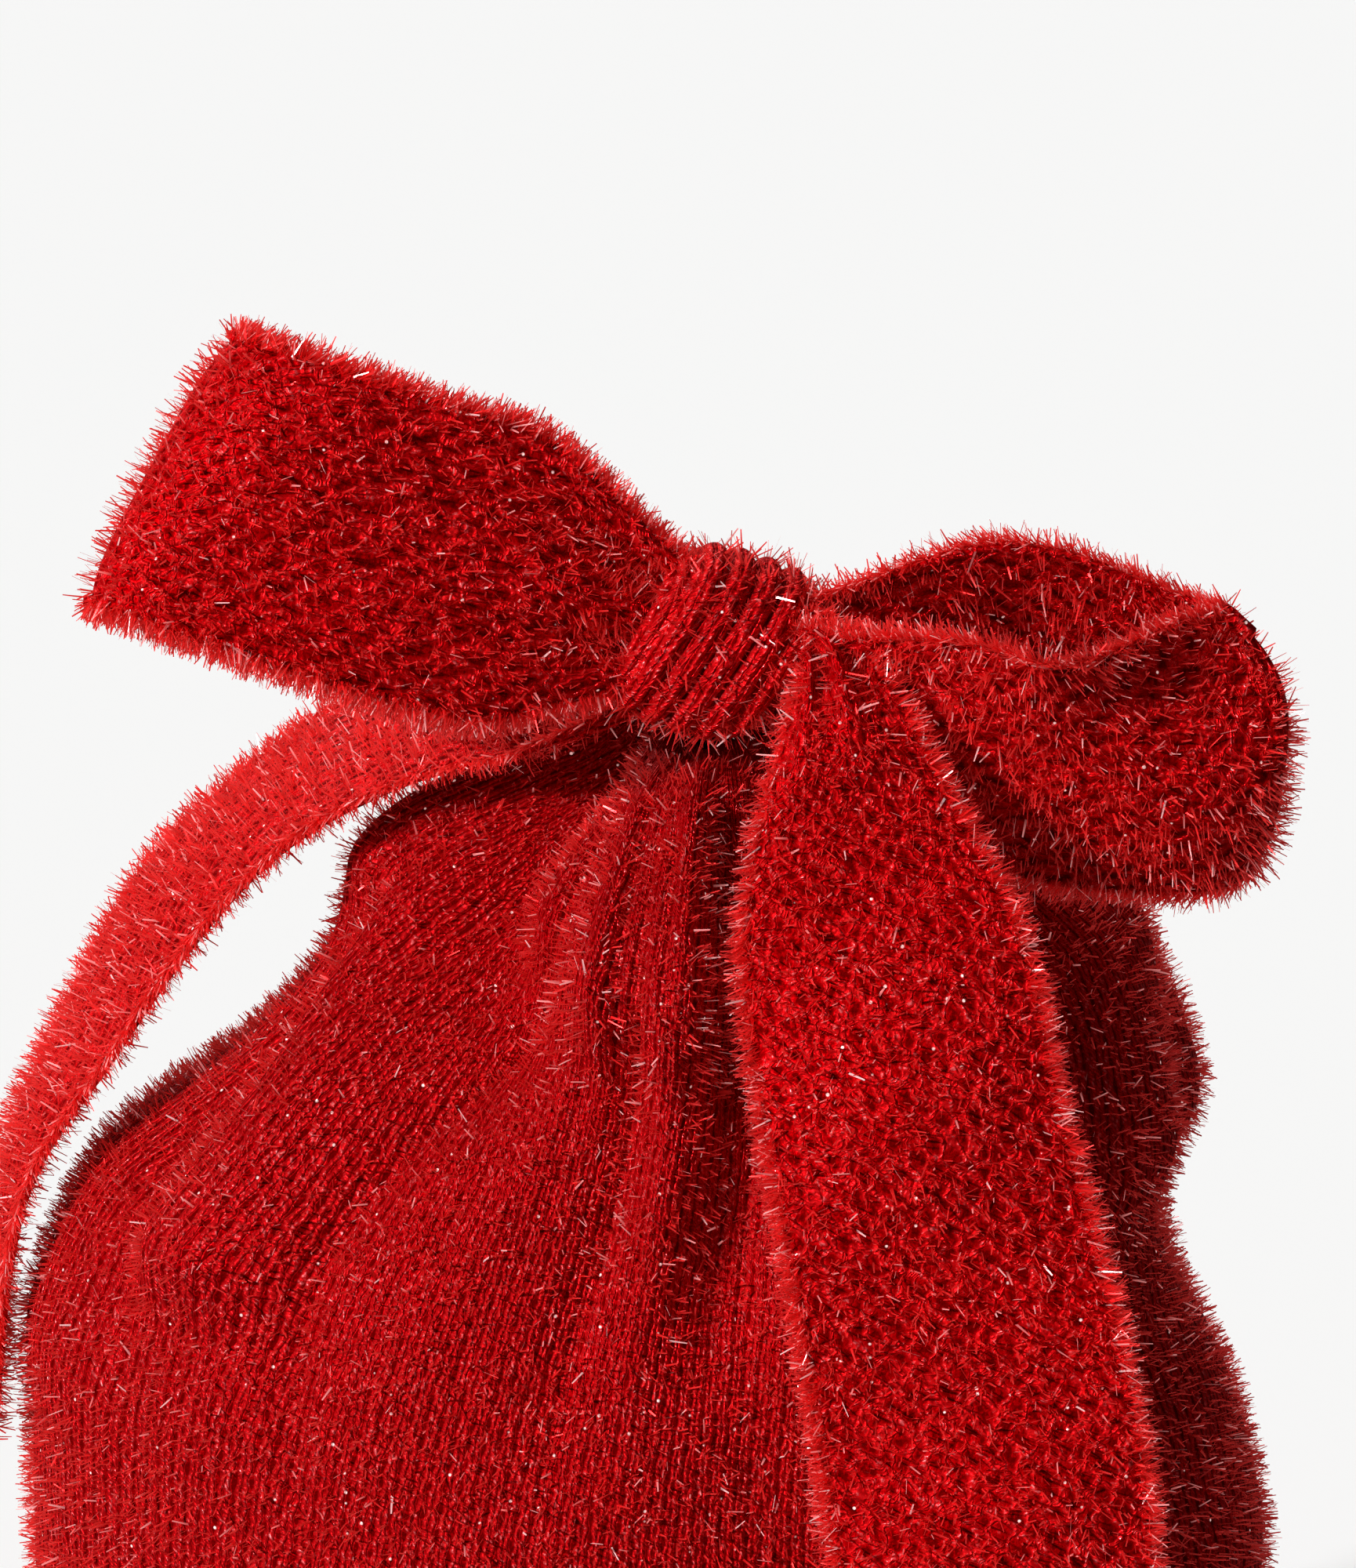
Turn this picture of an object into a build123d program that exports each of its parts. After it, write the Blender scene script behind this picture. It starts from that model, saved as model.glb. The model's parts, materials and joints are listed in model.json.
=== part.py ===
from build123d import *
import os

# Fabric gift sack: a knitted tinsel bag, gathered at the neck and tied with a bow of the same knit.
# Millimetres. Z up, the base rests on z = 0, the bow faces -Y, and the base is centred on the origin.

# Driving dimensions of the sack
neck_x = 8.0  # the gathered neck leans to the right of the base's centre
neck_z = 180.0  # where the gathers close up into the neck
mouth_z = 193.5  # top of the gathered mouth
neck_radius = 9.5
channel_radius = 5.0  # the way left open through the gathers
knit = 2.2  # knit cloth with its pile pressed flat
seam_width = 2.0  # overlocked seam allowance, across the seam
seam_depth = 4.0  # how far the allowance stands into the bag
seam_top = 156.0  # above this the allowance is lost in the gathers

# Driving dimensions of the tie, a flat knitted strip
band = 33.0  # width
tie = 2.4  # thickness
pinch = 8.0  # half width of a loop where the knot grips it
clearance = 0.4  # between the neck band and the neck
hinge_gap = 1.0  # between the knot and the rounded end of a loop

# The knot and the band round the neck
knot_x, knot_y, knot_z = neck_x, -19.6, 194.0
knot_wide, knot_deep, knot_tall = 17.0, 14.8, 19.0
knot_tilt = 20.0  # the bow slopes down to the right
ring_low, ring_high = 181.5, 191.5
ring_radius = neck_radius + clearance

# The loops: tilt of the axis, lean of the band, length from the knot's centre, half depth of the gap
hinge_reach = knot_wide / 2 + hinge_gap + pinch  # the pinched end is round about its hinge
left_tilt, left_lean, left_length, left_gap = 20.0, -20.0, 64.5, 7.0
right_tilt, right_lean, right_length, right_gap = 12.0, 28.0, 62.0, 10.0

# Height, centre, half width and half depth of the filled sack, from the base to the neck
sections = [
    (0.0, 0.0, 58.0, 40.0),
    (10.0, 0.0, 65.5, 47.0),
    (32.0, 0.0, 69.5, 51.5),
    (60.0, 0.0, 70.5, 53.0),
    (86.0, -1.2, 69.0, 52.5),
    (107.0, -3.4, 65.5, 50.0),
    (125.0, -2.4, 60.0, 46.0),
    (141.0, 4.0, 52.0, 40.0),
    (153.0, 7.6, 45.0, 34.5),
    (163.0, 8.0, 38.0, 27.0),
    (170.0, 8.0, 28.0, 19.0),
    (175.5, 8.0, 17.0, 12.8),
    (neck_z, neck_x, neck_radius, neck_radius),
]


def gathers(height):
    """Extra thickness of the wall where the cloth crowds together below the neck."""
    start = sections[8][0]
    share = max(0.0, (height - start) / (neck_z - start))
    return share * (neck_radius - channel_radius - knit)


def sack_solid(inset):
    """Solid inside the sack, drawn in by inset all round and raised by as much at the base."""
    with BuildPart() as body:
        for height, centre, half_width, half_depth in sections:
            drawn_in = inset + gathers(height) if inset else 0.0
            with BuildSketch(Plane.XY.offset(max(height, inset))):
                with Locations((centre, 0)):
                    Ellipse(half_width - drawn_in, half_depth - drawn_in)
        loft()
    return body.part


outer = sack_solid(0.0)
inner = sack_solid(knit)
core = sack_solid(knit + seam_depth)

# Base panel: the flat bottom that the sack stands on
with BuildPart() as base_panel:
    add(outer)
    split(bisect_by=Plane.XY.offset(knit), keep=Keep.BOTTOM)

# Front and back panels: the bag's two halves, joined at the sides and round the base
with BuildPart() as front_panel:
    add(outer)
    add(inner, mode=Mode.SUBTRACT)
    split(bisect_by=Plane.XY.offset(knit), keep=Keep.TOP)
    split(bisect_by=Plane.XZ, keep=Keep.TOP)

with BuildPart() as back_panel:
    add(outer)
    add(inner, mode=Mode.SUBTRACT)
    split(bisect_by=Plane.XY.offset(knit), keep=Keep.TOP)
    split(bisect_by=Plane.XZ, keep=Keep.BOTTOM)


def seam_slab(side):
    """The slice of space that a side seam's allowance takes up, on the side -1 or +1."""
    low = 2 * knit + seam_depth
    with BuildPart() as slab:
        with BuildSketch(Plane.XY.offset(low)):
            with Locations((side * band * 2, 0)):
                Rectangle(band * 4, seam_width)
        extrude(amount=seam_top - low)
    return slab.part


# Side seams: the overlocked allowances of the two panels, standing into the bag at its sides
with BuildPart() as left_side_seam:
    add(inner)
    add(core, mode=Mode.SUBTRACT)
    add(seam_slab(-1), mode=Mode.INTERSECT)

with BuildPart() as right_side_seam:
    add(inner)
    add(core, mode=Mode.SUBTRACT)
    add(seam_slab(1), mode=Mode.INTERSECT)

# Base seam: the allowance round the base panel, flat against the foot of the walls
with BuildPart() as base_seam:
    with BuildSketch(Plane.XY.offset(knit)):
        Ellipse(sections[0][2] - knit, sections[0][3] - knit)
        Ellipse(sections[0][2] - knit - seam_width, sections[0][3] - knit - seam_width, mode=Mode.SUBTRACT)
    extrude(amount=seam_depth)

# Mouth hem: the turned top edge of the bag, gathered into a short neck above the tie
with BuildPart() as mouth_hem:
    with BuildSketch(Plane.XY.offset(neck_z)):
        with Locations((neck_x, 0)):
            Circle(neck_radius)
            Circle(channel_radius, mode=Mode.SUBTRACT)
    extrude(amount=mouth_z - neck_z)

# Neck band: the middle of the tie, wrapped round the gathers
with BuildPart() as neck_band:
    with BuildSketch(Plane.XY.offset(ring_low)):
        with Locations((neck_x, 0)):
            Circle(ring_radius + tie)
            Circle(ring_radius, mode=Mode.SUBTRACT)
    extrude(amount=ring_high - ring_low)

# Knot wrap: the turn of the tie that is pulled tight over the bow's centre
knot_plane = Plane(
    origin=(knot_x, knot_y, knot_z),
    x_dir=Vector(1, 0, 0).rotate(Axis.Y, knot_tilt),
    z_dir=(0, -1, 0),
)
with BuildPart() as knot_wrap:
    with BuildSketch(knot_plane.offset(-knot_deep / 2)):
        RectangleRounded(knot_wide, knot_tall, knot_wide / 4)
    extrude(amount=knot_deep)
    fillet(knot_wrap.faces().sort_by(Axis.Y)[0].edges(), knot_deep / 5)
    with BuildSketch(Plane.XY.offset(knot_z - knot_tall)):
        with Locations((neck_x, 0)):
            Circle(ring_radius + tie)
    extrude(amount=2 * knot_tall, mode=Mode.SUBTRACT)


def loop_solid(side, tilt, lean, length, gap, lower_start, lower_full):
    """A loop of the tie: a hoop in plan, cut from the front to an outline that narrows to the knot."""
    out = Vector(side, 0, 0).rotate(Axis.Y, tilt)
    across = Vector(0, 0, 1).rotate(Axis.Y, tilt).rotate(Axis((0, 0, 0), out), side * lean)
    centre = (knot_x, knot_y, knot_z)
    plan = Plane(origin=centre, x_dir=out, z_dir=across)
    front = Plane(origin=centre, x_dir=out, z_dir=out.cross(across))
    start = hinge_reach - pinch
    widest = 0.72 * length
    edge = band / 2
    with BuildPart() as hoop:
        with BuildSketch(plan):
            with BuildLine():
                Line((start, 0), (start, tie))
                Spline(
                    (start, tie),
                    (hinge_reach, tie + 0.2),
                    (widest, gap + tie),
                    (length, 0),
                    tangents=((1, 0), (0, -1)),
                )
                mirror(about=Plane.XZ)
            make_face()
            with BuildLine():
                Spline(
                    (hinge_reach + tie, 0),
                    (widest, gap),
                    (length - tie, 0),
                    tangents=((1, 0.3), (0, -1)),
                )
                mirror(about=Plane.XZ)
            make_face(mode=Mode.SUBTRACT)
        extrude(amount=edge, both=True)
        with BuildSketch(front):
            with BuildLine():
                Spline((hinge_reach, pinch), (2 * hinge_reach, edge), tangents=((1, 0), (1, 0)))
                Polyline((2 * hinge_reach, edge), (length, edge), (length, -edge), (lower_full, -edge))
                Spline((lower_full, -edge), (lower_start, -pinch), tangents=((-1, 0), (-1, 0)))
                Line((lower_start, -pinch), (hinge_reach, -pinch))
                RadiusArc((hinge_reach, -pinch), (hinge_reach, pinch), pinch)
            make_face()
        extrude(amount=length, both=True, mode=Mode.INTERSECT)
    return hoop.part


# Left loop: lies back with its two layers close together
with BuildPart() as left_loop:
    add(loop_solid(-1, left_tilt, left_lean, left_length, left_gap, hinge_reach + 1, 2 * hinge_reach))

# Right loop: leans forward with its gap open to the front and above
with BuildPart() as right_loop:
    add(loop_solid(1, right_tilt, right_lean, right_length, right_gap, 22.0, 46.0))

# Right tail: falls from the knot down the front of the sack. Points are (y, z from the knot)
knot_front = Plane(origin=(0, 0, knot_z), x_dir=(1, 0, 0), z_dir=(0, -1, 0))
knot_side = Plane(origin=(0, 0, knot_z), x_dir=(0, 1, 0), z_dir=(1, 0, 0))
right_fall = [(-27.2, 3.0), (-31.6, -9.0), (-38.5, -32.0), (-44.8, -52.0), (-51.4, -84.0), (-55.0, -118.0)]
with BuildPart() as right_tail:
    with BuildSketch(knot_side):
        with BuildLine() as fall:
            Spline(right_fall)
        trace(fall.line, line_width=tie)
    extrude(amount=2 * band, both=True)
    with BuildSketch(knot_front):
        with BuildLine():
            Spline((19.8, 5.0), (12.6, -11.5), (9.4, -26.5), (14.5, -58.0), (22.0, -108.0), (23.5, -125.0))
            Line((23.5, -125.0), (56.5, -125.0))
            Spline((56.5, -125.0), (55.5, -101.0), (47.0, -52.0), (39.5, -26.0), (29.5, -9.0), (24.0, 5.0))
            Line((24.0, 5.0), (19.8, 5.0))
        make_face()
    extrude(amount=2 * band, mode=Mode.INTERSECT)

# Left tail: leaves the knot behind the left loop and falls over the sack's shoulder, seen from the front
left_fall = [
    (-6.4, -9.0),
    (-14.0, -13.0),
    (-25.0, -16.5),
    (-36.0, -23.0),
    (-46.0, -31.5),
    (-55.0, -41.5),
    (-62.0, -53.0),
    (-69.0, -66.0),
    (-73.0, -80.0),
    (-75.5, -97.0),
]
tail_front = -10.0  # front edge of the left tail, once it is at its full width
tail_back = tail_front + band
with BuildPart() as left_tail:
    with BuildSketch(knot_front):
        with BuildLine() as fall:
            Spline(left_fall)
        trace(fall.line, line_width=tie)
    extrude(amount=band, both=True)
    with BuildSketch(Plane.XY.offset(knot_z)):
        with BuildLine():
            Spline((-4.0, -18.0), (-10.0, -17.0), (-26.0, tail_front), tangents=((-1, 0), (-1, 0)))
            Polyline((-26.0, tail_front), (-90.0, tail_front), (-90.0, tail_back), (-28.0, tail_back))
            Spline((-28.0, tail_back), (-10.0, -8.0), (-4.0, -9.0), tangents=((1, 0), (1, 0)))
            Line((-4.0, -9.0), (-4.0, -18.0))
        make_face()
    extrude(amount=-knot_z, mode=Mode.INTERSECT)

pieces = {
    "base_panel": base_panel,
    "front_panel": front_panel,
    "back_panel": back_panel,
    "left_side_seam": left_side_seam,
    "right_side_seam": right_side_seam,
    "base_seam": base_seam,
    "mouth_hem": mouth_hem,
    "neck_band": neck_band,
    "knot_wrap": knot_wrap,
    "left_loop": left_loop,
    "right_loop": right_loop,
    "left_tail": left_tail,
    "right_tail": right_tail,
}
os.makedirs("parts", exist_ok=True)
for name, piece in pieces.items():
    piece.part.label = name
    export_step(piece.part, f"parts/{name}.step")
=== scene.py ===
# %% [markdown]
# # A tinsel-knit gift sack
# A soft sack of glossy red tinsel knit stands filled, its neck gathered and tied with a wide strip of the same
# knit. The strip makes a knot, two loops and two tails. Three things make such cloth look right: the open ribs of
# the knit, the gathers that run out from the neck, and the short flat filaments that stand off every surface.

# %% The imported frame
import json
import math

import bmesh
import bpy
import numpy as np
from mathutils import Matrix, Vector
from mathutils.bvhtree import BVHTree


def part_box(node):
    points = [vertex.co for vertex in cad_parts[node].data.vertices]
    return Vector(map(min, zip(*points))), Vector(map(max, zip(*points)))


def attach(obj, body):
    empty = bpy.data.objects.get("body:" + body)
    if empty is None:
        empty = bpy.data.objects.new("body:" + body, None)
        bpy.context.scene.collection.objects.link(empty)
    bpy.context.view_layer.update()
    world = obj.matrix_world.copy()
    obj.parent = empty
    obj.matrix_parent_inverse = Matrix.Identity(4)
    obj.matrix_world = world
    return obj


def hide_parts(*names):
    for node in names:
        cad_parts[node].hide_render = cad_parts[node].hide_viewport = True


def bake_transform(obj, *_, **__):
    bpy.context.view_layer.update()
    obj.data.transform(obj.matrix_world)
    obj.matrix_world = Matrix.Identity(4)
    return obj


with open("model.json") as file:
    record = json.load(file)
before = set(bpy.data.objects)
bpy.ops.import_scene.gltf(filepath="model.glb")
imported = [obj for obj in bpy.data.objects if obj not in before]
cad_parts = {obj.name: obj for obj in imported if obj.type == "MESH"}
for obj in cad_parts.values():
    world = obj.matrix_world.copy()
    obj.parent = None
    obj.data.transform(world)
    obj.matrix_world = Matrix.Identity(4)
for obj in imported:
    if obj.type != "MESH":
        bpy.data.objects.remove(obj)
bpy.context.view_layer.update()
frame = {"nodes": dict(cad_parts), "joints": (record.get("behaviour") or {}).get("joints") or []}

MM = 0.001

# %% [markdown]
# Places come from the frame. The knot, the neck and the hinges of the loops are read from it in millimetres, and
# everything below is worked out in millimetres and turned into metres when a mesh is filled.

# %% Places read from the frame
def span(node):
    low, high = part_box(node)
    return np.array(low) / MM, np.array(high) / MM


def middle(node):
    low, high = span(node)
    return (low + high) / 2


knot = middle("knot_wrap")
mouth_low, mouth_high = span("mouth_hem")
ring_low, ring_high = span("neck_band")
neck = middle("mouth_hem")[:2]
neck_z, mouth_z = mouth_low[2], mouth_high[2]
knot_half_wide, knot_half_tall, knot_half_deep = 8.6, 9.6, 7.4
hinges = {joint["child"]: np.array(joint["pos_m"]) / MM for joint in frame["joints"] if "pos_m" in joint}
print("knot at", knot.round(1), "neck at", neck.round(1), "from", neck_z, "to", mouth_z)

# %% [markdown]
# ## The camera
# It looks a little down on the bow from the front. A long lens keeps the sack's sides nearly parallel.

# %% Camera
view_down = math.radians(20)
lens = 200.0
half_sensor = 18.0
frame_tall = 167.0  # height of the picture at the bow, millimetres
knot_front = knot + np.array([0, -knot_half_deep, 0])
forward = np.array([0, math.cos(view_down), -math.sin(view_down)])
upward = np.array([0, math.sin(view_down), math.cos(view_down)])
distance = frame_tall / 2 * lens / half_sensor
aim_left, aim_below = 4.6, 12.5  # the picture's middle is this far from the knot, millimetres
aim = knot_front + np.array([-aim_left, 0, 0]) - aim_below * upward
camera = bpy.data.objects.new("camera", bpy.data.cameras.new("camera"))
bpy.context.scene.collection.objects.link(camera)
camera.data.lens = lens
camera.data.clip_start, camera.data.clip_end = 0.01, 20
camera.location = Vector((aim - forward * distance) * MM)
camera.rotation_mode = "QUATERNION"
camera.rotation_quaternion = Vector(forward).to_track_quat("-Z", "Y")
bpy.context.scene.camera = camera
print("camera", round(distance), "mm from the bow")

# %% [markdown]
# ## Curves and sheets
# Each piece of cloth is a grid of faces that a formula bends into place. The formula takes two numbers from 0 to 1
# for a point of the flat cloth, and gives the point in space. The same formula later says where the pile grows.

# %% Helpers for formulas
def ease(x, low, high):
    share = np.clip((x - low) / (high - low), 0, 1)
    return share * share * (3 - 2 * share)


def path(points, along):
    """Smooth curve through points, taken at along, from 0 to 1. Points are spaced by their distance apart."""
    points = np.array(points, float)
    steps = np.linalg.norm(np.diff(points, axis=0), axis=1)
    at = np.concatenate([[0], np.cumsum(steps)]) / steps.sum()
    slopes = np.gradient(points, at, axis=0)
    along = np.clip(along, 0, 1)
    i = np.clip(np.searchsorted(at, along, side="right") - 1, 0, len(at) - 2)
    width = (at[i + 1] - at[i])[..., None]
    f = ((along - at[i]) / (at[i + 1] - at[i]))[..., None]
    start, end = points[i], points[i + 1]
    return (
        (1 + 2 * f) * (1 - f) ** 2 * start
        + f * (1 - f) ** 2 * width * slopes[i]
        + f * f * (3 - 2 * f) * end
        - f * f * (1 - f) * width * slopes[i + 1]
    )


def unit(vectors):
    return vectors / np.maximum(np.linalg.norm(vectors, axis=-1, keepdims=True), 1e-9)


# %% A sheet from a formula
def link(name, mesh):
    piece = bpy.data.objects.new(name, mesh)
    bpy.context.scene.collection.objects.link(piece)
    return piece


def sheet(name, shape, columns, rows, wales, length, ribs_along="t"):
    """A grid bent by shape(s, t). Its UV map counts the knit's ribs one way and millimetres the other."""
    grid = bmesh.new()
    grid.loops.layers.uv.new("UVMap")
    bmesh.ops.create_grid(grid, x_segments=columns, y_segments=rows, size=0.5, calc_uvs=True)
    mesh = bpy.data.meshes.new(name)
    grid.to_mesh(mesh)
    grid.free()
    flat = np.empty(len(mesh.vertices) * 3)
    mesh.vertices.foreach_get("co", flat)
    flat = flat.reshape(-1, 3) + 0.5
    mesh.vertices.foreach_set("co", (shape(flat[:, 0], flat[:, 1]) * MM).ravel())
    uv = np.empty(len(mesh.loops) * 2)
    mesh.uv_layers[0].uv.foreach_get("vector", uv)
    uv = uv.reshape(-1, 2)
    uv = (uv if ribs_along == "t" else uv[:, ::-1]) * [wales, length]
    mesh.uv_layers[0].uv.foreach_set("vector", uv.ravel())
    mesh.polygons.foreach_set("use_smooth", np.ones(len(mesh.polygons), bool))
    mesh.update()
    print(name, len(mesh.polygons), "faces")
    return link(name, mesh)


def thicken(piece, thickness, offset=-1.0):
    wall = piece.modifiers.new("wall", "SOLIDIFY")
    wall.thickness, wall.offset = thickness * MM, offset
    return piece

# %% [markdown]
# ## The sack's shape
# The sack is a lofted bag. Its outer shape is read off the frame by shooting rays at it from outside, level by
# level, and the gathers are cut into that shape afterwards: deep and narrow at the neck, fading out lower down.

# %% The outer shape, read by rays
def outside(names):
    found = bmesh.new()
    for name in names:
        found.from_mesh(frame["nodes"][name].data)
    tree = BVHTree.FromBMesh(found)
    found.free()
    return tree


shell = outside(["front_panel", "back_panel", "base_panel"])
ray_start = 0.3  # metres from the axis, well outside the sack
levels = np.concatenate([np.linspace(0.4, 150, 60), np.linspace(152, neck_z - 0.4, 34)])
turns = np.linspace(-math.pi, math.pi, 145)


def axis_x(height):
    return neck[0] * ease(height, 90, 165)


def reach(turn, height):
    """How far the shell is from its axis, at a turn from the front and a height."""
    out = Vector((math.sin(turn), -math.cos(turn), 0))
    start = Vector((float(axis_x(height)), 0, float(height))) * MM + out * ray_start
    hit = shell.ray_cast(start, -out)
    return (ray_start - hit[3]) / MM


reaches = np.array([[reach(turn, height) for turn in turns] for height in levels])
mean_reach = reaches.mean(axis=1)
slant = np.concatenate([[0], np.cumsum(np.hypot(np.diff(levels), np.diff(mean_reach)))])
side_length = slant[-1]
print("side of the sack, base to neck:", round(side_length), "mm")


def shell_reach(turn, height):
    """reach() for arrays, between the rays that were shot."""
    turn = (turn + math.pi) % (2 * math.pi) - math.pi
    a = np.clip((turn + math.pi) / (2 * math.pi) * (len(turns) - 1), 0, len(turns) - 1.001)
    b = np.clip(np.interp(height, levels, np.arange(len(levels))), 0, len(levels) - 1.001)
    i, j = a.astype(int), b.astype(int)
    f, g = a - i, b - j
    low = reaches[j, i] * (1 - f) + reaches[j, i + 1] * f
    high = reaches[j + 1, i] * (1 - f) + reaches[j + 1, i + 1] * f
    return low * (1 - g) + high * g


# %% [markdown]
# A gather is a rounded ridge between two sharp valleys. Three families of them are mixed: a fine one close to the
# neck, a broad one that runs down over the shoulder, and a shallow one of many small creases. All wander a
# little, so that no two ridges are alike.

# %% Gathers
fine, broad, shallow = 23, 11, 37  # ridges round the sack


def ridge(turn, count, shift):
    """1 on the crest of each ridge and 0 in the valleys between them."""
    return np.abs(np.sin(turn * count / 2 + shift)) ** 0.7


def wander(turn, height):
    slow = 0.16 * np.sin(2 * turn + 0.9)
    return slow + 0.09 * np.sin(5 * turn + height / 21) + 0.05 * np.sin(height / 13 + 3 * turn)


def gathers(turn, height):
    """How far the cloth is drawn in, millimetres."""
    moved = turn + wander(turn, height)
    near_neck = ease(height, 145, 174)
    on_shoulder = ease(height, 72, 152)
    neck_limit = 1 - 0.62 * ease(height, 164, 178)
    fine_depth = 3.6 * near_neck * neck_limit
    broad_depth = 5.0 * on_shoulder**1.7 * (1 - 0.8 * ease(height, 159, 176))
    drawn = fine_depth * (1 - ridge(moved, fine, 0.4))
    drawn = drawn + broad_depth * (1 - ridge(moved + 0.05 * np.sin(height / 17), broad, 1.1))
    return drawn + 0.5 * (1 - ridge(moved, shallow, height / 60)) * ease(height, 90, 150)


# %% [markdown]
# Some folds are seen one by one: the crests that run down from the knot, the valley beside the right tail, the
# hollow under the left loop, and broad changes at the flanks. Each has a track of heights and turns, a width in
# radians, how far it stands out in millimetres, or in where that is negative, and the heights where it ends.

# %% Single folds
def fold(turn, height, track, wide, deep, low, high, soft, soft_top):
    """One fold, fading in over soft above low and out over soft_top below high."""
    heights, turns = zip(*track)
    off = (turn - np.interp(height, heights, turns) + math.pi) % (2 * math.pi) - math.pi
    fade = ease(height, low, low + soft) * (1 - ease(height, high - soft_top, high))
    return deep * np.exp(-((off / wide) ** 2)) * fade


under_knot = [(140, -0.16), (180, -0.16)]
centre_crest = [(134, -0.04), (141, -0.06), (146, -0.10), (154, -0.22), (166, -0.38), (175, -0.46)]
second_crest = [(150, -0.08), (166, -0.14), (178, -0.16)]
tail_valley = [(110, 0.06), (140, 0.04), (160, 0.02), (175, -0.02)]
left_hollow = [(120, -0.58), (150, -0.80), (165, -1.05), (174, -1.12)]
left_crest = [(126, -1.04), (144, -1.10), (159, -1.22), (172, -1.45)]
left_flank = [(100, -1.62), (175, -1.62)]
right_flank = [(100, 1.62), (175, 1.62)]
# track, width, how far out, low end, high end, fade at the low end, fade at the high end
single_folds = [
    (under_knot, 0.42, 9.5, 148, 181.5, 16, 6),
    (centre_crest, 0.19, 3.8, 128, 181, 14, 5),
    (second_crest, 0.10, 2.8, 146, 182, 9, 5),
    (tail_valley, 0.10, -4.2, 112, 178, 14, 9),
    (left_hollow, 0.24, -10.5, 140, 181, 22, 6),
    (left_crest, 0.17, 5.4, 118, 180, 12, 9),
    (left_crest, 0.40, 4.0, 156, 182, 10, 9),
    (left_flank, 0.30, -2.2, 132, 160, 12, 9),
    (left_flank, 0.60, 2.4, 96, 136, 16, 9),
    (right_flank, 0.60, 6.8, 122, 170, 14, 14),
    (right_flank, 0.60, 1.6, 70, 112, 16, 9),
]


def folds(turn, height):
    return sum(fold(turn, height, *row) for row in single_folds)


def slump(turn, height):
    """Broad, soft dents and swellings of the filled bag, millimetres outward."""
    low = ease(height, 8, 60) * (1 - ease(height, 120, 165))
    return low * (0.8 * np.sin(3 * turn + height / 31 + 0.6) + 0.6 * np.sin(5 * turn - height / 23)) - 0.3 * low


def sack_at(turn, height, inside=0.0):
    radius = shell_reach(turn, height) - gathers(turn, height) + folds(turn, height) + slump(turn, height) - inside
    x = axis_x(height) + radius * np.sin(turn)
    return np.stack([x, -radius * np.cos(turn), height], axis=-1)


def height_at(along):
    return np.interp(along * side_length, slant, levels)


def front_shape(s, t):
    return sack_at((s - 0.5) * math.pi, height_at(t))


def back_shape(s, t):
    return sack_at((s + 0.5) * math.pi, height_at(t))


# %% [markdown]
# The bag is two panels that meet at the sides. The knit's ribs run up each panel from the base and crowd together
# at the neck, so the same number of ribs is counted across the panel at every height.

# %% Front and back panels
half_wales = 100
front_cloth = thicken(sheet("front_cloth", front_shape, 300, 240, half_wales, side_length), 1.0)
back_cloth = thicken(sheet("back_cloth", back_shape, 220, 170, half_wales, side_length), 1.0)
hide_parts("front_panel")
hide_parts("back_panel")

# %% [markdown]
# The base is an oval of the same knit, sewn in round its rim. It is pressed flat by the weight above it.

# %% Base
def base_shape(s, t):
    turn = (s - 0.5) * 2 * math.pi
    radius = shell_reach(turn, np.full_like(turn, levels[0])) * t * 0.985
    return np.stack([radius * np.sin(turn), -radius * np.cos(turn), np.full_like(turn, 0.15)], axis=-1)


base_cloth = thicken(sheet("base_cloth", base_shape, 96, 24, 2 * half_wales, 45), 0.9)
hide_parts("base_panel")

# %% [markdown]
# Inside, the edges of the panels are sewn together with an overlock stitch, which leaves a narrow ridge of cloth
# and thread standing into the bag at each side and round the base.

# %% Seams
seam_foot, seam_tall = 9, 146


def side_seam(name, node, turn):
    def shape(s, t):
        height = seam_foot + t * seam_tall
        inner = sack_at(np.full_like(s, turn), height, 1.6 + 3.6 * s)
        thread = 0.35 * np.sin(t * 260)
        return inner + np.stack([np.zeros_like(s), thread, np.zeros_like(s)], axis=-1)

    seam = thicken(sheet(name, shape, 5, 200, 2, 148), 1.4, 0.0)
    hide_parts(node)
    return seam


left_seam = side_seam("left_seam_overlock", "left_side_seam", -math.pi / 2)
right_seam = side_seam("right_seam_overlock", "right_side_seam", math.pi / 2)


def base_seam_shape(s, t):
    turn = (s - 0.5) * 2 * math.pi
    height = 2.6 + 3.4 * t
    radius = shell_reach(turn, height) - 4.6 + 0.3 * np.sin(turn * 90)
    return np.stack([radius * np.sin(turn), -radius * np.cos(turn), height], axis=-1)


foot_seam = thicken(sheet("base_seam_overlock", base_seam_shape, 240, 4, 120, 4), 1.4, 0.0)
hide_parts("base_seam")

# %% [markdown]
# The mouth is the bag's turned hem. It is drawn into a short pleated neck, and its edge rolls inward over the
# narrow way that is left through the gathers.

# %% Mouth
mouth_tall = mouth_z - neck_z
mouth_profile = [(9.4, 0.0), (9.4, 4.0), (9.3, 8.5), (8.8, 11.4), (7.6, 13.0), (6.2, 12.3), (5.4, 9.5), (5.2, 1.0)]


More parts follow.
